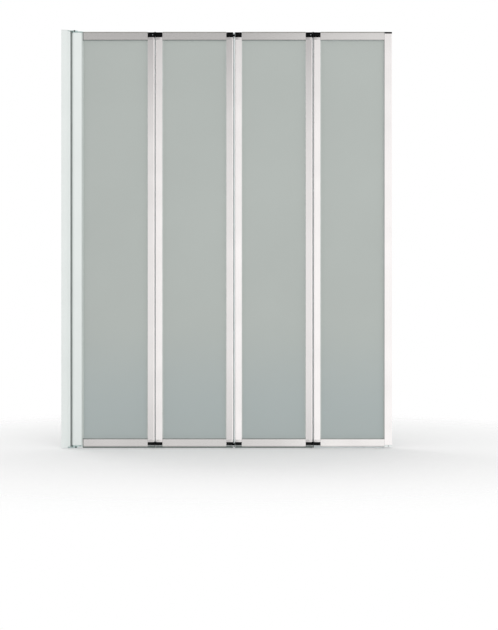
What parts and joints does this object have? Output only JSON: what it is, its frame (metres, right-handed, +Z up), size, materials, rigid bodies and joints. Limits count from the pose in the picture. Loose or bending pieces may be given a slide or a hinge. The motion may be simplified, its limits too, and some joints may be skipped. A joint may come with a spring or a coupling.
{
  "type": "folding bath screen",
  "caption": "Folding bath screen of framed frosted panels hinged to a wall channel, with sealed joints and a wiping seal along the bath rim.",
  "frame": {"origin": "the back of the wall channel, where it lies on the wall, on its centre line and at half its height", "axes": "+X from the wall to the free end with the screen drawn out straight, +Y into the bath, -Y towards the room, +Z up"},
  "size_m": [1.107, 0.03, 1.4],
  "materials": {
    "white_aluminium": "satin white powder coat on extruded aluminium",
    "bright_aluminium": "bright anodised extrusion",
    "frosted_pane": "frosted, grey-green, hardly see-through",
    "black_nylon": "moulded black",
    "grey_rubber": "matt mid grey",
    "glazing_vinyl": "soft pale grey glazing channel",
    "clear_vinyl": "translucent extruded vinyl",
    "cast_zinc": "plated zinc casting",
    "steel_pin": "turned steel",
    "white_plastic": "moulded white"
  },
  "bodies": {
    "wall_side": {"adjusting_profile": "white_aluminium", "channel_cap": "white_plastic", "pivot_bracket_bottom": "cast_zinc", "pivot_bracket_top": "cast_zinc", "wall_channel": "white_aluminium", "wall_gasket": "grey_rubber"},
    "panel_1": {"hinge_12_bottom_left_block": "black_nylon", "hinge_12_bottom_pin": "steel_pin", "hinge_12_top_left_block": "black_nylon", "hinge_12_top_pin": "steel_pin", "hinge_cap_bottom": "cast_zinc", "hinge_cap_top": "cast_zinc", "panel_1_bottom_rail": "bright_aluminium", "panel_1_bottom_seal": "clear_vinyl", "panel_1_glazing_seal": "glazing_vinyl", "panel_1_hinge_stile": "white_aluminium", "panel_1_pane": "frosted_pane", "panel_1_right_stile": "bright_aluminium", "panel_1_top_rail": "bright_aluminium"},
    "panel_2": {"hinge_12_bottom_right_block": "black_nylon", "hinge_12_top_right_block": "black_nylon", "hinge_23_bottom_left_block": "black_nylon", "hinge_23_bottom_pin": "steel_pin", "hinge_23_top_left_block": "black_nylon", "hinge_23_top_pin": "steel_pin", "joint_12_seal": "clear_vinyl", "panel_2_bottom_rail": "bright_aluminium", "panel_2_bottom_seal": "clear_vinyl", "panel_2_glazing_seal": "glazing_vinyl", "panel_2_left_stile": "bright_aluminium", "panel_2_pane": "frosted_pane", "panel_2_right_stile": "bright_aluminium", "panel_2_top_rail": "bright_aluminium"},
    "panel_3": {"hinge_23_bottom_right_block": "black_nylon", "hinge_23_top_right_block": "black_nylon", "hinge_34_bottom_left_block": "black_nylon", "hinge_34_bottom_pin": "steel_pin", "hinge_34_top_left_block": "black_nylon", "hinge_34_top_pin": "steel_pin", "joint_23_seal": "clear_vinyl", "panel_3_bottom_rail": "bright_aluminium", "panel_3_bottom_seal": "clear_vinyl", "panel_3_glazing_seal": "glazing_vinyl", "panel_3_left_stile": "bright_aluminium", "panel_3_pane": "frosted_pane", "panel_3_right_stile": "bright_aluminium", "panel_3_top_rail": "bright_aluminium"},
    "panel_4": {"end_cap_bottom": "white_plastic", "end_cap_top": "black_nylon", "hinge_34_bottom_right_block": "black_nylon", "hinge_34_top_right_block": "black_nylon", "joint_34_seal": "clear_vinyl", "panel_4_bottom_rail": "bright_aluminium", "panel_4_bottom_seal": "clear_vinyl", "panel_4_end_stile": "bright_aluminium", "panel_4_glazing_seal": "glazing_vinyl", "panel_4_left_stile": "bright_aluminium", "panel_4_pane": "frosted_pane", "panel_4_top_rail": "bright_aluminium"}
  },
  "joints": [
    {"name": "wall_pivot", "type": "hinge", "parent": "wall_side", "child": "panel_1", "pos_m": [0.0445, 0, 0], "axis": [0, 0, 1], "range_deg": [0, 90]},
    {"name": "fold_12", "type": "hinge", "parent": "panel_1", "child": "panel_2", "pos_m": [0.31355, -0.011, 0], "axis": [0, 0, 1], "range_deg": [-180, 0]},
    {"name": "fold_23", "type": "hinge", "parent": "panel_2", "child": "panel_3", "pos_m": [0.5781, 0.011, 0], "axis": [0, 0, 1], "range_deg": [0, 180]},
    {"name": "fold_34", "type": "hinge", "parent": "panel_3", "child": "panel_4", "pos_m": [0.84265, -0.011, 0], "axis": [0, 0, 1], "range_deg": [-180, 0]}
  ],
  "couplings": [
    {"joint": "fold_23", "follows": "fold_12", "ratio": -1},
    {"joint": "fold_34", "follows": "fold_12", "ratio": 1}
  ]
}
